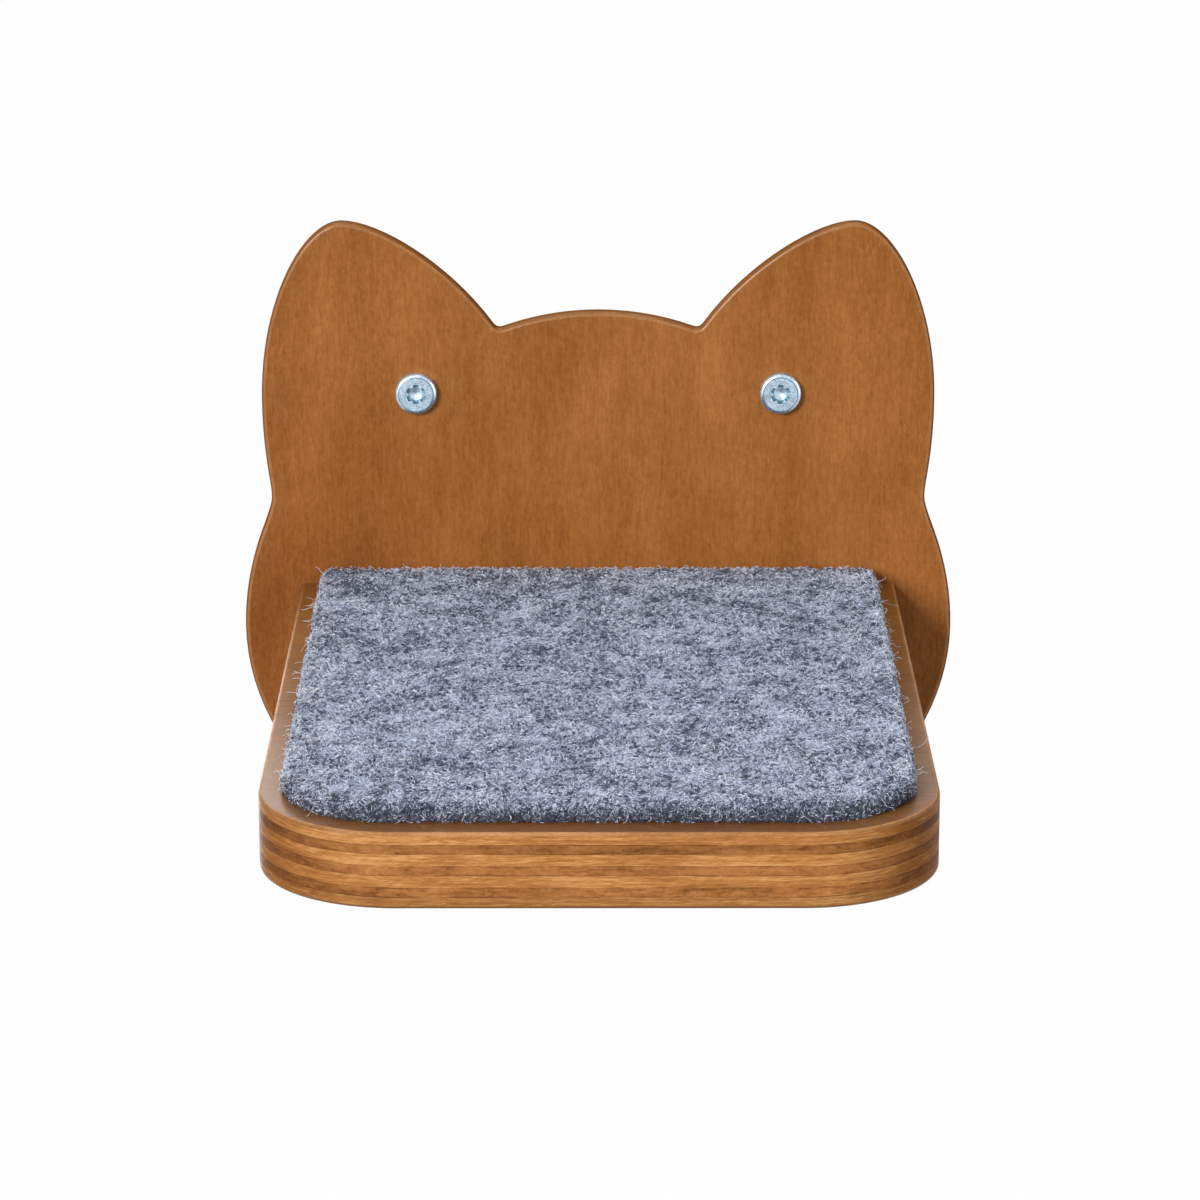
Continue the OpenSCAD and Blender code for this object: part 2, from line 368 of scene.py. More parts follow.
def piece(name, verts, faces, materials, body, nodes, picks=None):
    """A mesh object that rides on a body and stands for CAD nodes. picks gives each face's material."""
    mesh = bpy.data.meshes.new(name)
    mesh.from_pydata([tuple(v) for v in verts], [], [tuple(int(i) for i in f) for f in faces])
    for material in materials:
        mesh.materials.append(material)
    if picks is not None:
        mesh.polygons.foreach_set("material_index", np.asarray(picks, np.int32))
    mesh.polygons.foreach_set("use_smooth", [True] * len(mesh.polygons))
    mesh.update()
    obj = bpy.data.objects.new(name, mesh)
    bpy.context.collection.objects.link(obj)
    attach(obj, body)
    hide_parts(*nodes)
    return obj


def node_loop(node, axis, level):
    """The outer edge of a node's flat face on a plane, as points in order."""
    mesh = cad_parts[node].data
    count = {}
    for polygon in mesh.polygons:
        corners = [mesh.vertices[i].co for i in polygon.vertices]
        if all(abs(corner[axis] - level) < MICRON for corner in corners):
            ring = [tuple(round(c / MICRON) for c in corner) for corner in corners]
            for a, b in zip(ring, ring[1:] + ring[:1]):
                count[frozenset((a, b))] = count.get(frozenset((a, b)), 0) + 1
    near = {}
    for a, b in (edge for edge, uses in count.items() if uses == 1):
        near.setdefault(a, []).append(b)
        near.setdefault(b, []).append(a)
    loops = []
    while near:
        start = next(iter(near))
        loop = [start]
        while loop[-1] in near:
            onward = [p for p in near.pop(loop[-1]) if p in near]
            if not onward:
                break
            loop.append(onward[0])
        loops.append(loop)
    return np.array(max(loops, key=len)) * MICRON


def unit(vectors):
    return vectors / np.linalg.norm(vectors, axis=1)[:, None]


def outward(loop):
    """Unit normals of a closed 2D loop that runs counter-clockwise."""
    edge = np.roll(loop, -1, 0) - loop
    normal = unit(np.stack([edge[:, 1], -edge[:, 0]], 1))
    both = normal + np.roll(normal, 1, 0)
    return both / (np.linalg.norm(both, axis=1) ** 2 / 2)[:, None]


def counter_clockwise(loop):
    x, y = loop.T
    return loop if np.dot(x, np.roll(y, -1)) > np.dot(y, np.roll(x, -1)) else loop[::-1]


def rounded_sheet(loop, normals, low, high, arris, steps=5, worn_and_lit=5):
    """Rings of a sheet between two levels whose arrises are rounded.

    Returns points (u, v, level), faces and, for each face, 0 for the two flat sides, 1 for the edge, 2
    for the high arris and 3 for the low one. Of the bands of an arris, the ones next to the flat side, as
    many as asked for, count as such, and the rest as edge. The panel's arrises and the board's top one
    are paler in these bands: partly wear, partly painted highlight.
    """
    angles = np.linspace(0, math.pi / 2, steps + 1)
    profile = [(arris * (1 - math.sin(a)), low + arris * (1 - math.cos(a))) for a in angles]
    profile += [(inset, low + high - level) for inset, level in reversed(profile)]
    rings = [np.column_stack([loop - normals * inset, np.full(len(loop), level)]) for inset, level in profile]
    worn_and_lit = min(worn_and_lit, steps)
    bands = [3] * worn_and_lit + [1] * (2 * (steps - worn_and_lit) + 1) + [2] * worn_and_lit
    return np.vstack(rings), lofted(rings), [0] + [band for band in bands for _ in loop] + [0]


def ring_faces(first, second, n):
    """Faces between two rings of n points, given by the numbers of their first points."""
    return [(first + i, first + (i + 1) % n, second + (i + 1) % n, second + i) for i in range(n)]


def lofted(rings):
    """Faces of rings of points, each joined to the next, with a flat face on the first and the last."""
    n = len(rings[0])
    last = (len(rings) - 1) * n
    sides = [face for first in range(0, last, n) for face in ring_faces(first, first + n, n)]
    return [tuple(range(n))[::-1], *sides, tuple(range(last, last + n))]


def drilled(obj, holes):
    """Cuts holes along Y: each is a node on its axis and a list of (radius, y) points of a turned profile."""
    for node, profile in holes:
        low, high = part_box(node)
        x, _, z = (low + high) / 2
        verts, faces = turned([[r] * HOLE_SIDES for r, _ in profile], [y for _, y in profile], x, z)
        mesh = bpy.data.meshes.new("cutter")
        mesh.from_pydata([tuple(v) for v in verts], [], faces)
        for material in obj.data.materials:
            mesh.materials.append(material)
        mesh.polygons.foreach_set("material_index", [1] * len(mesh.polygons))
        cutter = bpy.data.objects.new("cutter", mesh)
        bpy.context.collection.objects.link(cutter)
        cut = obj.modifiers.new("cut", "BOOLEAN")
        cut.operation, cut.object, cut.solver = "DIFFERENCE", cutter, "EXACT"
        with bpy.context.temp_override(object=obj, active_object=obj):
            bpy.ops.object.modifier_apply(modifier=cut.name)
        bpy.data.objects.remove(cutter)


def turned(radii, levels, x, z):
    """Rings about an axis along Y, closed at both ends. radii has a list for each ring."""
    n = len(radii[0])
    angle = np.arange(n) * TURN / n
    verts, faces = [], []
    for ring, level in zip(radii, levels):
        r = np.asarray(ring)
        verts += list(zip(x + r * np.cos(angle), np.full(n, level), z + r * np.sin(angle)))
    for k in range(len(levels) - 1):
        for i in range(n):
            j = (i + 1) % n
            faces.append((k * n + i, (k + 1) * n + i, (k + 1) * n + j, k * n + j))
    first, last = len(verts), len(verts) + 1
    verts += [(x, levels[0], z), (x, levels[-1], z)]
    top = (len(levels) - 1) * n
    for i in range(n):
        j = (i + 1) % n
        faces.append((first, i, j))
        faces.append((last, top + j, top + i))
    return verts, faces


def helix(x, z, core, crest, start, end, point):
    """A screw thread along Y from start to end, a closed ridge that fades out over the point."""
    way = 1 if end > start else -1
    per_turn = 36
    half = 0.32 * THREAD_PITCH
    count = int((abs(end - start) - 2 * half) / THREAD_PITCH * per_turn)
    verts, faces = [], []
    for i in range(count + 1):
        angle = TURN * i / per_turn
        y = start + way * (half + THREAD_PITCH * i / per_turn)
        left = abs(end - y)
        body = min(1.0, left / point + 0.06)
        rise = min(1.0, i / (0.6 * per_turn), left / (0.25 * point))
        foot = core * body * 0.9
        top = max(foot, core * body * 0.97 + (crest - core * 0.97) * rise * min(1.0, body + 0.15))
        for r, shift in ((foot, -half), (top, -0.15 * half), (top, 0.15 * half), (foot, half)):
            verts.append((x + r * math.cos(angle), y + shift, z - way * r * math.sin(angle)))
    for i in range(count):
        faces += ring_faces(4 * i, 4 * i + 4, 4)
    faces += [(3, 2, 1, 0), tuple(4 * count + k for k in range(4))]
    return verts, faces


def joined(*parts):
    """One list of points and faces from several."""
    verts, faces = [], []
    for points, polygons in parts:
        faces += [tuple(i + len(verts) for i in f) for f in polygons]
        verts += list(points)
    return verts, faces


def flat_shaded_sides(obj):
    """Keeps big flat faces flat beside small rounded ones."""
    modifier = obj.modifiers.new("normals", "WEIGHTED_NORMAL")
    modifier.mode = "FACE_AREA"
    modifier.weight = 100
    modifier.keep_sharp = True


# Plywood


def wall_screw_hole(node):
    """A hole through the panel round a wall screw."""
    return node, [(WALL_HOLE_R, y) for y in (PANEL_LOW.y - CUT_PAST, PANEL_HIGH.y + CUT_PAST)]


def countersink(node):
    """A hole through the panel round a shelf screw, wide enough for its head at the back."""
    low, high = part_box(node)
    wide, face = (high.x - low.x) / 2 + SCREW_GAP, high.y - SCREW_GAP
    neck = [(NECK_HOLE_R, PANEL_LOW.y - CUT_PAST), (NECK_HOLE_R, face - (wide - NECK_HOLE_R))]
    return node, neck + [(wide, face), (wide, PANEL_HIGH.y + CUT_PAST)]


def pilot(node):
    """A blind bore in the board round a shelf screw."""
    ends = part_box(node)[0].y - BORE_END_GAP, BOARD_HIGH.y + CUT_PAST
    return node, [(SHELF_THREAD_R + SCREW_GAP, y) for y in ends]


# Dark, middle and light tones of the veneers
STAIN = (0.255, 0.083, 0.016), (0.345, 0.124, 0.028), (0.43, 0.166, 0.045)
# the panel's arris: paler, partly stain worn through, partly painted highlight
PANEL_ARRIS_WEAR_AND_HIGHLIGHT = (0.28, 0.105, 0.026), (0.36, 0.147, 0.042), (0.45, 0.196, 0.064)
BOARD_STAIN = (0.18, 0.07, 0.014), (0.251, 0.103, 0.022), (0.326, 0.142, 0.036)
# the board's top arris: paler, partly the golden top ply showing through, partly painted highlight
BOARD_ARRIS_WOOD_AND_HIGHLIGHT = (0.34, 0.145, 0.045), (0.47, 0.22, 0.076), (0.6, 0.31, 0.125)
# painted shade: the board's arris darkens where it turns left or right
ARRIS_SIDE_SHADE = (0.66, 0.63, 0.6), (0.2, 0.62)  # tint and cosines, as veneer takes them

# Plies: tones of their long and end grain, and tints
LONG_GRAIN = (0.315, 0.119, 0.031), (0.485, 0.207, 0.060), (0.72, 0.355, 0.130)
END_GRAIN = (0.19, 0.068, 0.019), (0.37, 0.147, 0.043), (0.52, 0.22, 0.073)
BOARD_TINTS = (0.8, 1.08, 1.0, 1.06, 1.0, 0.88, 1.0)  # from the lowest ply up
THICK_PLY = 0.568  # share that an outer ply takes of two
# the board's edge darkens, most in blue, as it turns left or right: partly end grain taking more stain,
# partly painted shade
SIDE_STAIN_AND_SHADE = (0.62, 0.53, 0.43), (0.46, 0.39, 0.3)  # where the edge faces left or right
SIDE_TURN = (0.35, 0.88)
PANEL_LONG = (0.23, 0.1, 0.033), (0.3, 0.138, 0.048), (0.37, 0.178, 0.07)
PANEL_END = (0.2, 0.082, 0.025), (0.26, 0.112, 0.036), (0.32, 0.145, 0.051)
PANEL_SIDES = (0.82, 0.66, 0.5), (0.82, 0.66, 0.5)
PANEL_TURN = (0.1, 0.5)
PANEL_TINTS = (1.0, 1.0, 1.0)  # three plies of one tone

# Painted shade: patches darkened where less light falls, given by centre, reach and tint
PANEL_PAINTED_SHADE = (-0.094, PANEL_LOW.y, -0.07), 0.1, (0.83, 0.76, 0.72)
# painted shadow of the mat on the front of the board's top
BOARD_PAINTED_SHADOW = (0, BOARD_LOW.y, BOARD_HIGH.z), 0.11, (0.72, 0.63, 0.5)

GLUE = (0.07, 0.024, 0.008)
PLY_WOBBLE = 0.16 * MM
FIGURE_SLANT = (0.5, 0.45, 0)  # of the figure in the long grain, in radians


def make_panel():
    loop = counter_clockwise(node_loop("back_panel", 1, PANEL_LOW.y)[:, [0, 2]])
    points, faces, picks = rounded_sheet(
        loop, outward(loop), PANEL_LOW.y, PANEL_HIGH.y, PANEL_ARRIS, worn_and_lit=PANEL_WORN_AND_LIT_BANDS)
    verts = points[:, [0, 2, 1]]
    # painted shade darkens the lower left cheek
    face = veneer("panel_veneer", "Z", *STAIN, painted_shade_patch=PANEL_PAINTED_SHADE)
    edge = ply_edge(
        "panel_edge", "Y", PANEL_LOW.y, PANEL_HIGH.y, PANEL_TINTS, first=0.5, long=PANEL_LONG,
        end=PANEL_END, glued=0.3, sides=PANEL_SIDES, turn=PANEL_TURN)
    # paler arris: partly wear, partly painted highlight
    arris = veneer("panel_arris", "Z", *PANEL_ARRIS_WEAR_AND_HIGHLIGHT, shine=0.25, coat=0.2, rough=0.4)
    obj = piece("panel", verts, faces, [face, edge, arris, arris], "shelf", ["back_panel"], picks)
    drilled(obj, [wall_screw_hole(n) for n in WALL_SCREWS] + [countersink(n) for n in SHELF_SCREWS])
    flat_shaded_sides(obj)


def board_loop():
    """The board's outline and normals. The back edge, against the panel, is rounded less than the others."""
    half, r = BOARD_HIGH.x, BOARD_CORNER
    loop, normals = [], []
    for side, start in ((-1, math.pi), (1, 1.5 * math.pi)):
        for a in np.linspace(start, start + math.pi / 2, 33):
            n = (math.cos(a), math.sin(a))
            loop.append((side * (half - r) + r * n[0], BOARD_LOW.y + r + r * n[1]))
            normals.append(n)
    for side in (1, -1):
        loop.append((side * half, BOARD_HIGH.y))
        normals.append((side, 0.5))
    return np.array(loop), np.array(normals)


def make_board():
    loop, normals = board_loop()
    verts, faces, picks = rounded_sheet(loop, normals, BOARD_LOW.z, BOARD_HIGH.z, BOARD_ARRIS)
    # the board's top darkens towards its front middle: painted shadow of the mat
    face = veneer("board_veneer", "X", *BOARD_STAIN, shine=0.2, coat=0.33, rough=0.34, painted_shade_patch=BOARD_PAINTED_SHADOW)
    # its side corners darken: partly end grain taking more stain, partly painted shade
    edge = ply_edge(
        "board_edge", "Z", BOARD_LOW.z, BOARD_HIGH.z, BOARD_TINTS, first=THICK_PLY, long=LONG_GRAIN,
        end=END_GRAIN, glued=0.66, sides=SIDE_STAIN_AND_SHADE, turn=SIDE_TURN, shine=0.03)
    # paler top arris: partly the top ply's own wood, partly painted highlight
    arris = veneer("board_arris", "X", *BOARD_ARRIS_WOOD_AND_HIGHLIGHT, shine=0.13, sides=ARRIS_SIDE_SHADE)
    # the low arris takes the darker face stain: painted shade under the edge
    obj = piece("board", verts, faces, [face, edge, arris, face], "shelf", ["shelf_board"], picks)
    drilled(obj, [pilot(n) for n in SHELF_SCREWS])
    flat_shaded_sides(obj)


# Screws


def lobed(n, r):
    """Radii of a six-lobed outline with one lobe on top."""
    angle = np.arange(n) * TURN / n
    notch = np.clip((0.5 - 0.5 * np.cos(LOBES * angle) - 0.14) / 0.42, 0, 1)
    return r * (0.72 + 0.28 * notch * notch * (3 - 2 * notch))


def screw_mesh(node, way, head, neck, thread_start, core, crest, point, drive_r, drive_depth,
               rim=(0, 0, 0), groove=()):
    """A screw along Y with a recess in its head.

    way is +1 where the point is on the +Y side. head is a list of (radius, distance from the head's
    face). rim says where the head's polished bands start and end and where its rolled ones end; the
    rolled ones are a little darker, painted shade. groove lists its dark bands, painted shade like the
    recess.
    """
    low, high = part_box(node)
    middle = (low + high) / 2
    face, tip = (low.y, high.y) if way > 0 else (high.y, low.y)
    n = SCREW_SIDES
    lobes = lobed(n, drive_r)
    pit = np.full(n, 0.66 * drive_r)
    radii = [pit * 0.25, pit, lobes * 0.94, lobes * 0.98, lobes * 1.03]
    levels = [drive_depth, drive_depth * 0.7, drive_depth * 0.7, 0.15 * MM, 0]
    polished, rolled, end = (len(radii) + band for band in rim)
    shaded = (*RECESS_BANDS, *(len(radii) + band for band in groove))
    radii += [np.full(n, r) for r, _ in head]
    levels += [d for _, d in head]
    length = abs(tip - face)
    shank = [(neck, thread_start), (core, thread_start + 0.6 * MM)]
    shank += [(core, length - point), (0.06 * MM, length)]
    radii += [np.full(n, r) for r, _ in shank]
    levels += [d for _, d in shank]
    body = turned(radii, [face + way * d for d in levels], middle.x, middle.z)
    if way < 0:
        body = (body[0], [f[::-1] for f in body[1]])
    thread = helix(middle.x, middle.z, core, crest, face + way * thread_start, tip, point)
    finish = [PLATE] * (len(levels) - 1)
    for bands, pick in ((range(polished, rolled), RIM), (range(rolled, end), ROLL_SHADE), (shaded, RECESS_SHADE)):
        for band in bands:
            finish[band] = pick
    picks = [pick for pick in finish for _ in range(n)] + [PLATE] * (2 * n + len(thread[1]))
    return (*joined(body, thread), picks)


def screw_piece(node, mesh, plating):
    verts, faces, picks = mesh
    obj = piece(node + "_steel", verts, faces, plating, "shelf", [node], picks)
    sharpen(obj)


def make_wall_screw(node, plating):
    """A round head with a rolled rim and a fine groove inside it."""
    low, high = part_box(node)
    r, t = (high.x - low.x) / 2, PANEL_LOW.y - low.y
    flat, roll = 0.82 * r, 0.9 * MM
    turns = np.linspace(math.radians(14), math.pi / 2, 9)
    arc = [(flat + (r - flat) * math.sin(a), 0.05 * MM + roll * (1 - math.cos(a))) for a in turns]
    groove = [(flat, 0), (flat + 0.05 * MM, 0.16 * MM), (flat + 0.2 * MM, 0.16 * MM)]
    head = [(3.6 * MM, 0)] + groove + arc + [(r, t - 0.15 * MM), (r - 0.15 * MM, t), (WALL_NECK_R, t)]
    mesh = screw_mesh(
        node, 1, head, neck=WALL_NECK_R, thread_start=PANEL_HIGH.y - low.y, core=WALL_THREAD_R - THREAD_DEPTH,
        crest=WALL_THREAD_R, point=10.2 * MM, drive_r=2.8 * MM, drive_depth=1.9 * MM,
        rim=(len(groove), len(arc) - 1, len(arc) + 5), groove=(1, 2))
    screw_piece(node, mesh, plating)


def make_shelf_screw(node, plating):
    """A countersunk head at the panel's back."""
    low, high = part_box(node)
    r = (high.x - low.x) / 2
    head = [(2.9 * MM, 0), (r - 0.1 * MM, 0), (r, 0.1 * MM), (SHELF_NECK_R, r - SHELF_NECK_R)]
    mesh = screw_mesh(
        node, -1, head, neck=SHELF_NECK_R, thread_start=high.y - PANEL_LOW.y, core=1.8 * MM,
        crest=SHELF_THREAD_R, point=8 * MM, drive_r=2.25 * MM, drive_depth=2.0 * MM)
    screw_piece(node, mesh, plating)


def sharpen(obj):
    """Marks sharp edges, so that smooth shading stops there."""
    mesh = bmesh.new()
    mesh.from_mesh(obj.data)
    bmesh.ops.recalc_face_normals(mesh, faces=mesh.faces)
    for edge in mesh.edges:
        edge.smooth = len(edge.link_faces) == 2 and edge.calc_face_angle() < math.radians(SHARP_DEG)
    mesh.to_mesh(obj.data)
    mesh.free()


# Hook tape

TAPE_BASE = 0.45  # share of the tape's height that is woven, below its hooks
WARP_PITCH = 0.5 * MM
WEFT_PITCH = 0.7 * MM
NYLON_TONES = (0.012, 0.012, 0.014), (0.04, 0.04, 0.045)
HOOK_PITCH = 1.9 * MM
HOOK_WIRE = 0.11 * MM


def make_tape(node, cloth):
    low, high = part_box(node)
    base = low.z + TAPE_BASE * (high.z - low.z)
    loop = np.array([(low.x, low.y), (high.x, low.y), (high.x, high.y), (low.x, high.y)])
    strip = rounded_sheet(loop, outward(loop), low.z, base, 0.1 * MM, 2)[:2]
    parts = [(list(strip[0]), strip[1])]
    rise = high.z - base - HOOK_WIRE
    columns, rows = int((high.x - low.x) / HOOK_PITCH), int((high.y - low.y) / HOOK_PITCH)
    for i in range(columns):
        for j in range(rows):
            x = low.x + HOOK_PITCH * (i + 0.5 + 0.25 * (j % 2))
            y = low.y + HOOK_PITCH * (j + 0.5)
            lean = 1 if j % 2 else -1
            stem = [(x, y, base - 0.05 * MM), (x, y, base + 0.6 * rise)]
            bend = [(x + lean * 0.22 * MM, y, base + rise), (x + lean * 0.5 * MM, y, base + 0.75 * rise)]
            parts.append(wire(stem + bend, HOOK_WIRE))
    verts, faces = joined(*parts)
    obj = piece(node + "_hooks", verts, faces, [cloth], "shelf", [node])


def wire(path, r):
    """A closed three-sided tube along a path in a plane of constant y."""
    path = np.array(path)
    way = unit(np.gradient(path, axis=0))
    across = np.column_stack([-way[:, 2], np.zeros(len(path)), way[:, 0]])
    beside = np.array((0, 1, 0))
    turns = (0, TURN / 3, 2 * TURN / 3)
    rings = [[at + r * (out * math.cos(turn) - beside * math.sin(turn)) for turn in turns]
             for at, out in zip(path, across)]
    return [point for ring in rings for point in ring], lofted(rings)


# Felt mat

random = np.random.default_rng(7)
PILE = 0.55 * MM  # depth of the loose fibres on the mat's top
FELT_SHEEN = 0.15
FELT_CORE = (0.048, 0.058, 0.095), (0.32, 0.368, 0.495), (0.66, 0.72, 0.87)
FELT_TONES = (  # dark end and light end of each yarn, from the darkest to the palest
    ((0.035, 0.044, 0.078), (0.085, 0.102, 0.168)),
    ((0.27, 0.317, 0.436), (0.426, 0.483, 0.632)),
    ((0.51, 0.572, 0.727), (0.705, 0.767, 0.93)),
    ((0.73, 0.787, 0.925), (0.9, 0.94, 1.0)),
)
TONE_STEPS = (-0.3, -0.1, 0.36)  # where one yarn gives way to the next
DARKEST, PALEST = 0, len(FELT_TONES) - 1
TOP_LAYERS, TOP_FIBRES = 3, 16400  # in each layer, with those that miss the mat's outline
TUFTS, TUFT_FIBRES = 1900, 6
SIDE_LAYERS, SIDE_FIBRES = 2, 10250
STRAY_FIBRES = 330


def lumps(points, per_metre, seed):
    """Smooth noise from -1 to 1 at points."""
    return np.array([noise.noise(Vector(p) * per_metre + Vector((seed, 0, 0))) for p in points])


def mat_row(share):
    """(half width, y) of the mat at a share of its depth."""
    half, f, b = MAT_HIGH.x, MAT_FRONT_CORNER, MAT_BACK_CORNER
    y = MAT_LOW.y + share * (MAT_HIGH.y - MAT_LOW.y)
    front, back = np.clip(MAT_LOW.y + f - y, 0, f), np.clip(y - MAT_HIGH.y + b, 0, b)
    return half - f + np.sqrt(f * f - front * front) - b + np.sqrt(b * b - back * back), y


def mat_rows():
    """Shares of the mat's depth for its rows, closer together round its corners."""
    depth = MAT_HIGH.y - MAT_LOW.y
    turn = np.linspace(0, math.pi / 2, 22)
    front = (1 - np.cos(turn)) * MAT_FRONT_CORNER / depth
    back = 1 - (1 - np.cos(np.linspace(math.pi / 2, 0, 7))) * MAT_BACK_CORNER / depth
    middle = np.linspace(front[-1], back[0], int((back[0] - front[-1]) * depth / MAT_CELL))
    return np.concatenate([front, middle[1:-1], back])


def mat_loop():
    """The mat's outline as (x, y), counter-clockwise from its front left corner."""
    half, y = mat_row(mat_rows())
    front = np.linspace(-half[0], half[0], 90)[1:-1]
    back = np.linspace(half[-1], -half[-1], 110)[1:-1]
    ahead, behind = (front, np.full(len(front), y[0])), (back, np.full(len(back), y[-1]))
    parts = ahead, (half, y), behind, (-half[::-1], y[::-1])
    return np.vstack([np.column_stack(part) for part in parts])


def make_mat():
    """The felted body under the fibres, with a ragged edge and a lumpy top. Returns its outline too."""
    core = matted("felt_core", *FELT_CORE)
    loop = mat_loop()
    normals = outward(loop)
    flat = np.column_stack([loop, np.zeros(len(loop))])
    ragged = lumps(flat, 300, 3.1) * 0.25 * MM + lumps(flat, 24, 8.4) * 0.35 * MM
    loop = loop - normals * (0.5 * MM - ragged)[:, None]
    points, faces = draped(loop, normals)
    lid = lumpy_lid(points, faces, len(loop))
    obj = piece("felt_mat_body", *lid, [core], "mat", ["felt_mat"])
    return obj, loop, normals


def draped(loop, normals):
    """The mat as a sheet that lies on its tapes and droops to the board round its edge."""
    foot, top = BOARD_HIGH.z + 0.1 * MM, MAT_HIGH.z - PILE
    centre = loop.mean(0)
    shrunk = [(centre + (loop - centre) * share, level) for share, level in
              ((0.92, MAT_LOW.z), (0.955, MAT_LOW.z - 0.3 * (MAT_LOW.z - foot)))]
    angles = np.linspace(0, math.pi / 2, 5)
    profile = [(0.5 * MM, foot), (0, foot + 0.5 * MM)]
    profile += [(MAT_EDGE * (1 - math.cos(a)), top - MAT_EDGE * (1 - math.sin(a))) for a in angles]
    levels = shrunk + [(loop - normals * inset, level) for inset, level in profile]
    rings = [np.column_stack([ring, np.full(len(loop), level)]) for ring, level in levels]
    return np.vstack(rings), lofted(rings)


def lumpy_lid(points, faces, n):
    """Replaces a sheet's flat top by rings that shrink to the middle, raised and lowered by noise."""
    rim = points[-n:]
    centre = rim.mean(0)
    verts, faces = list(points), list(faces[:-1])
    start = len(points) - n
    for inset in np.linspace(0, 1, 62)[1:-1]:
        ring = rim + (centre - rim) * inset
        first = len(verts)
        height = lumps(ring, 420, 1.7) * 0.22 * MM + lumps(ring, 150, 4.2) * 0.12 * MM
        verts += list(ring + np.column_stack([np.zeros((n, 2)), height]))
        faces += ring_faces(start, first, n)
        start = first
    verts.append(centre)
    faces += [(start + i, start + (i + 1) % n, len(verts) - 1) for i in range(n)]
    return verts, faces


def fibre_cells(count, points):
    """UV places for fibres: each has a square cell, in which its faces lie side by side in their order."""
    side = math.ceil(math.sqrt(count))
    u = np.linspace(0.06, 0.94, points)
    rows = np.linspace(0.05, 0.95, 4)
    middles = (rows[1:] + rows[:-1]) / 2
    corners = []
    for j in range(3):
        corners += [(u[0], middles[j]), (u[1], rows[j + 1]), (u[1], rows[j])]
    for k in range(1, points - 2):
        for j in range(3):
            corners += [(u[k], rows[j]), (u[k], rows[j + 1]), (u[k + 1], rows[j + 1]), (u[k + 1], rows[j])]
    for j in range(3):
        corners += [(u[-2], rows[j]), (u[-2], rows[j + 1]), (u[-1], middles[j])]
    number = np.arange(count)
    cell = np.stack([number % side, number // side], 1)
    return ((cell[:, None] + np.array(corners)[None]) / side).reshape(-1, 2)


def spindle(points):
    """Faces of a closed fibre with three sides and pointed ends."""
    end = 3 * (points - 2) + 1
    faces = [(0, 1 + (j + 1) % 3, 1 + j) for j in range(3)]
    for first in range(1, end - 3, 3):
        faces += ring_faces(first, first + 3, 3)
    return faces + [(end - 3 + j, end - 3 + (j + 1) % 3, end) for j in range(3)]


def fibres(name, path, radius, tones):
    """Curled fibres, each a closed spindle.

    path is an array of (fibre, point, coordinate), and tones gives each fibre's material.
    """
    count, points = path.shape[:2]
    size = 3 * (points - 2) + 2
    verts = np.zeros((count, size, 3))
    verts[:, 0], verts[:, -1] = path[:, 0], path[:, -1]
    for k in range(1, points - 1):
        along_path = unit(path[:, k + 1] - path[:, k - 1])
        u = unit(np.cross(along_path, (0.31, 0.17, 0.93)))
        v = np.cross(along_path, u)
        for j in range(3):
            angle = TURN * j / 3
            ring = (u * math.cos(angle) + v * math.sin(angle)) * radius[:, None]
            verts[:, 3 * k - 2 + j] = path[:, k] + ring
    polygons = spindle(points)
    corners = np.array([i for polygon in polygons for i in polygon])
    starts = np.cumsum([0] + [len(polygon) for polygon in polygons[:-1]])
    index = (np.arange(count)[:, None] * size + corners[None]).ravel()
    first = (np.arange(count)[:, None] * len(corners) + starts[None]).ravel()
    mesh = bpy.data.meshes.new(name)
    mesh.vertices.add(count * size)
    mesh.vertices.foreach_set("co", verts.ravel())
    mesh.loops.add(len(index))
    mesh.loops.foreach_set("vertex_index", index.astype(np.int32))
    mesh.polygons.add(len(first))
    mesh.polygons.foreach_set("loop_start", first.astype(np.int32))
    mesh.polygons.foreach_set("material_index", np.repeat(tones, len(polygons)).astype(np.int32))
    mesh.polygons.foreach_set("use_smooth", [True] * len(first))
    for material in FELT_MATERIALS:
        mesh.materials.append(material)
    mesh.update(calc_edges=True)
    mesh.uv_layers.new(name="OFBake").uv.foreach_set("vector", fibre_cells(count, points).ravel())
    obj = bpy.data.objects.new(name, mesh)
    bpy.context.collection.objects.link(obj)
    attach(obj, "mat")
    return obj


def curled(roots, ups, sides, length, lift, headings):
    """Paths that start at roots and take equal steps.

    headings gives each step's turn from sides about ups, and lift the height of each point along ups.
    """
    others = np.cross(ups, sides)
    steps = headings.shape[1]
    at = roots.copy()
    path = np.zeros((len(roots), steps + 1, 3))
    for k in range(steps + 1):
        path[:, k] = at + ups * lift[:, k, None]
        if k < steps:
            go = sides * np.cos(headings[:, k, None]) + others * np.sin(headings[:, k, None])
            at = at + go * (length / steps)[:, None]
    return path


ARC = np.array([-1, 0, 1])  # headings of a short fibre's three steps, times its curl


def clumps(points):
    """Darker (below 0) and lighter patches of the felt."""
    return lumps(points, 170, 5.7) * 0.52 + lumps(points, 70, 2.2) * 0.27


def tone_at(points, count, lighter=0.0, mixed=0.4):
    """A yarn for each fibre, in clumps of darker and lighter felt."""
    pick = random.normal(lighter, mixed, count) + clumps(points)
    return np.digitize(pick, TONE_STEPS)


def inside_mat(x, y, margin):
    """True where points lie within the mat's outline by a margin."""
    share = np.clip((y - MAT_LOW.y) / (MAT_HIGH.y - MAT_LOW.y), 0, 1)
    half = mat_row(share)[0]
    return (np.abs(x) < half - margin) & (y > MAT_LOW.y + margin) & (y < MAT_HIGH.y - margin)


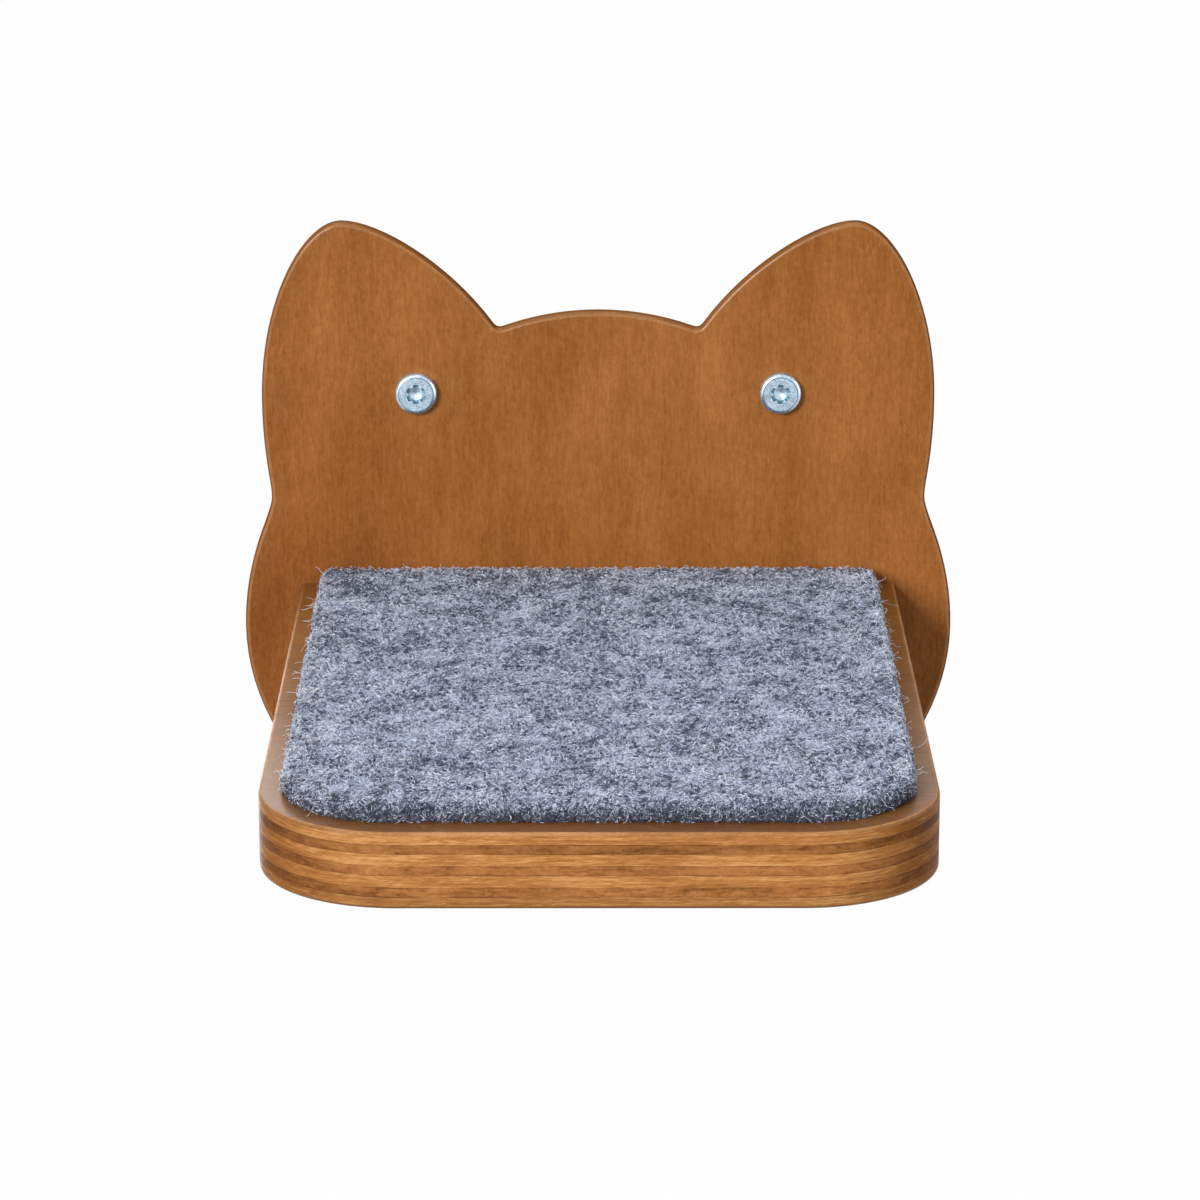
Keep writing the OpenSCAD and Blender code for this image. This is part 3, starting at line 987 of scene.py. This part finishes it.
def top_fibres(name, count):
    """Matted fibres on the mat's top, each a low arch. Those by the edge turn inwards."""
    x = random.uniform(MAT_LOW.x, MAT_HIGH.x, count)
    y = random.uniform(MAT_LOW.y, MAT_HIGH.y, count)
    keep = inside_mat(x, y, 0.8 * MM)
    x, y = x[keep], y[keep]
    count = len(x)
    roots = np.column_stack([x, y, np.full(count, MAT_HIGH.z - PILE)])
    ups = unit(np.column_stack([random.normal(0, 0.3, (count, 2)), np.ones(count)]))
    sides = unit(np.cross(ups, random.normal(0, 1, (count, 3))))
    length = random.uniform(0.9, 2.5, count) * MM
    ends = roots + sides * length[:, None]
    sides[~inside_mat(ends[:, 0], ends[:, 1], 0.6 * MM)] *= -1
    arch = np.array([-0.35, 0.85, 1.0, -0.1])
    lift = arch * random.uniform(0.1, 1.0, (count, 1)) * 0.7 * MM + random.normal(0, 0.1, (count, 4)) * MM
    curl = random.normal(0, 0.8, (count, 1))
    path = curled(roots, ups, sides, length, lift, curl * ARC)
    # painted light: yarns lighter towards the mat's front and darker by the panel
    painted_front_light = 0.16 - 0.26 * (y - MAT_LOW.y) / (MAT_HIGH.y - MAT_LOW.y)
    return fibres(name, path, random.uniform(0.08, 0.14, count) * MM, tone_at(roots, count, painted_front_light))


def dark_tufts(name, tufts, each):
    """Short dark fibres in small tufts on the mat's top, closer together in its darker clumps."""
    x = random.uniform(MAT_LOW.x, MAT_HIGH.x, 3 * tufts)
    y = random.uniform(MAT_LOW.y, MAT_HIGH.y, 3 * tufts)
    flat = np.column_stack([x, y, np.full(3 * tufts, MAT_HIGH.z - PILE)])
    chance = 0.33 - 0.8 * clumps(flat)
    keep = inside_mat(x, y, 1.6 * MM) & (random.uniform(0, 1, 3 * tufts) < chance)
    middles = np.repeat(flat[keep][:tufts], each, 0)
    count = len(middles)
    wide = np.repeat(random.uniform(0.2, 0.5, count // each), each) * MM
    offset = random.normal(0, 1, (count, 2)) * wide[:, None]
    roots = middles + np.column_stack([offset, np.zeros(count)])
    ups = unit(np.column_stack([random.normal(0, 0.25, (count, 2)), np.ones(count)]))
    sides = unit(np.cross(ups, random.normal(0, 1, (count, 3))))
    length = random.uniform(0.5, 1.2, count) * MM
    arch = np.array([-0.2, 0.9, 1.0, 0.0])
    lift = arch * random.uniform(0.35, 0.95, (count, 1)) * 0.7 * MM
    path = curled(roots, ups, sides, length, lift, random.normal(0, 0.8, (count, 1)) * ARC)
    return fibres(name, path, random.uniform(0.09, 0.15, count) * MM, np.full(count, DARKEST))


def along_edge(loop, normals, count):
    """Random points on the mat's outline with their outward directions."""
    length = np.linalg.norm(np.roll(loop, -1, 0) - loop, axis=1)
    pick = random.choice(len(loop), count, p=length / length.sum())
    share = random.uniform(0, 1, count)[:, None]
    after = (pick + 1) % len(loop)
    out = unit(normals[pick] * (1 - share) + normals[after] * share)
    return loop[pick] * (1 - share) + loop[after] * share, out


def edge_fibres(name, loop, normals, count):
    """Curled fibres on the mat's cut sides, with painted shade: darker towards the board and on the front."""
    at, out = along_edge(loop, normals, count)
    height = random.uniform(0, 1, count)
    foot = BOARD_HIGH.z + 0.15 * MM
    tall = MAT_HIGH.z - PILE - foot
    bend = np.clip((height * tall - (tall - MAT_EDGE)) / MAT_EDGE, 0, 1)
    shift = MAT_EDGE * (1 - np.sqrt(1 - bend ** 2))
    roots = np.column_stack([at - out * shift[:, None], foot + height * tall])
    ups = unit(np.column_stack([out, bend * 1.3]) + random.normal(0, 0.3, (count, 3)))
    sides = unit(np.cross(ups, random.normal(0, 1, (count, 3))))
    arch = np.array([-0.3, 0.8, 1.0, -0.2])
    beside = np.clip(np.abs(out[:, 0]) + out[:, 1], 0, 1) ** 2
    lift = arch * random.uniform(0.1, 1.0, (count, 1)) * (0.55 + 0.3 * beside)[:, None] * MM
    # painted shade: darker yarn low down by the board and on the front face, lighter on the other sides
    tones = tone_at(roots, count, 0.36 * height - 0.68 + 0.55 * beside, 0.52)
    length = random.uniform(0.9, 2.2, count) * MM
    path = curled(roots, ups, sides, length, lift, random.normal(0, 0.9, (count, 1)) * ARC)
    path[:, :, 2] = np.maximum(path[:, :, 2], foot)
    return fibres(name, path, random.uniform(0.08, 0.13, count) * MM, tones)


def stray_fibres(name, loop, normals, count):
    """Long thin pale fibres that have come loose along the mat's edge, and curl over the board."""
    at, out = along_edge(loop, normals, count)
    roots = np.column_stack([at, random.uniform(MAT_LOW.z + 1.2 * MM, MAT_HIGH.z - 1.0 * MM, count)])
    ups = unit(np.column_stack([random.normal(0, 0.6, (count, 2)), np.ones(count)]))
    sides = unit(np.column_stack([out, random.normal(0.1, 0.5, count)]))
    sides = unit(sides - ups * np.sum(sides * ups, 1)[:, None])
    steps = 8
    length = random.uniform(1.3, 5.0, count) * MM
    turns = random.normal(0, 0.3, (count, 1)) + random.normal(0, 0.25, (count, steps))
    headings = random.normal(0, 0.6, (count, 1)) + np.cumsum(turns, 1)
    rise = random.normal(0, 0.06, (count, steps + 1)) + random.normal(0, 0.06, (count, 1))
    rise[:, 0] = 0
    path = curled(roots, ups, sides, length, np.cumsum(rise, 1) * length[:, None], headings)
    path[:, :, 2] = np.clip(path[:, :, 2], BOARD_HIGH.z + 0.1 * MM, MAT_HIGH.z + 0.4 * MM)
    return fibres(name, path, random.uniform(0.04, 0.06, count) * MM, np.full(count, PALEST))


# Studio


def make_camera():
    data = bpy.data.cameras.new("camera")
    data.sensor_width = SENSOR_MM
    data.lens = FOCAL_PX / IMAGE_PX * data.sensor_width
    camera = bpy.data.objects.new("camera", data)
    camera.location = (CAMERA_ASIDE, BOARD_LOW.y - CAMERA_AHEAD, BOARD_HIGH.z + CAMERA_ABOVE)
    camera.rotation_euler = (math.radians(90 - PITCH_DEG), 0, math.radians(YAW_DEG))
    bpy.context.collection.objects.link(camera)
    bpy.context.scene.camera = camera


def area_light(name, place, target, size, watts):
    data = bpy.data.lights.new(name, "AREA")
    data.shape = "DISK"
    data.size = size
    data.energy = watts
    lamp = bpy.data.objects.new(name, data)
    lamp.location = place
    lamp.visible_camera = False
    lamp.rotation_euler = (Vector(target) - Vector(place)).to_track_quat("-Z", "Y").to_euler()
    bpy.context.collection.objects.link(lamp)


FLOOR_DROP = 2.0  # a wall shelf hangs well above the floor
FLOOR_HALF = 40
FLOOR_GLOW = 0.985  # the rest is the floor's own colour, with the shadow on it
FILL_LEVEL = 0.15
FILL_COLOUR = (0.96, 0.98, 1.0, 1)
CENTRE = (0, -0.1, -0.03)
LIGHTS = (  # name, place, target, width and watts
    ("key", (-1.5, -2.4, 1.06), CENTRE, 1.15, 86),
    ("right", (1.4, -0.45, 0.25), CENTRE, 1.1, 7.5),
    ("back", (-0.35, 1.5, -0.45), CENTRE, 1.1, 17),
    ("top", (-0.12, 0.12, 0.8), (0, -0.12, -0.05), 0.5, 2.2),
    ("rear", (-0.3, 0.9, 0.65), CENTRE, 0.6, 3.8),
)


def make_floor():
    """Pale diffuse floor that the camera and mirrors see as white, with a trace of its shadow."""
    white = Shader("floor_white")
    white.set(Base_Color=(0.8, 0.8, 0.8, 1), Roughness=0.9)
    white.show_white("ShaderNodeEmission", FLOOR_GLOW)
    corners = (-1, -1), (1, -1), (1, 1), (-1, 1)
    verts = [(FLOOR_HALF * x, FLOOR_HALF * y, -FLOOR_DROP) for x, y in corners]
    mesh = bpy.data.meshes.new("floor")
    mesh.from_pydata(verts, [], [(0, 1, 2, 3)])
    mesh.materials.append(white.owner)
    floor = bpy.data.objects.new("floor", mesh)
    bpy.context.collection.objects.link(floor)


def make_world():
    """A dim fill that the camera and mirrors see as white."""
    fill = Shader("studio", world=True)
    fill.set(Color=FILL_COLOUR, Strength=FILL_LEVEL)
    fill.show_white("ShaderNodeBackground")
    bpy.context.scene.world = fill.owner


# The scene

make_camera()
make_floor()
make_world()
for light in LIGHTS:
    area_light(*light)
bpy.context.scene.view_settings.view_transform = "Standard"
make_panel()
make_board()
PLATING = [  # in the order of PLATE, RECESS_SHADE, RIM and ROLL_SHADE
    zinc("zinc_plating", (0.54, 0.67, 0.78), 0.3, 0.42),
    # painted shade in the recess and the groove
    zinc("zinc_recess_shade", (0.18, 0.32, 0.4), 0.35, 0.5),
    zinc("zinc_rim", (0.54, 0.65, 0.76), 0.24, 0.34),
    # rougher zinc, a little darker: painted shade of the roll's dark reflection
    zinc("zinc_roll_shade", (0.52, 0.63, 0.73), 0.46, 0.58),
]
BACK_PLATING = [zinc("zinc_dull", (0.24, 0.31, 0.38), 0.46, 0.58), PLATING[RECESS_SHADE]]
for screw in WALL_SCREWS:
    make_wall_screw(screw, PLATING)
for screw in SHELF_SCREWS:
    make_shelf_screw(screw, BACK_PLATING)
TAPE_CLOTH = nylon("tape_nylon")
for tape in TAPES:
    make_tape(tape, TAPE_CLOTH)
FELT_MATERIALS = [felt(f"felt_yarn_{i}", *tones) for i, tones in enumerate(FELT_TONES)]
mat, *edge = make_mat()
fuzz = [top_fibres(f"felt_fibres_top_{i}", TOP_FIBRES) for i in range(TOP_LAYERS)]
fuzz.append(dark_tufts("felt_tufts_dark", TUFTS, TUFT_FIBRES))
fuzz += [edge_fibres(f"felt_fibres_side_{i}", *edge, SIDE_FIBRES) for i in range(SIDE_LAYERS)]
fuzz.append(stray_fibres("felt_fibres_stray", *edge, STRAY_FIBRES))
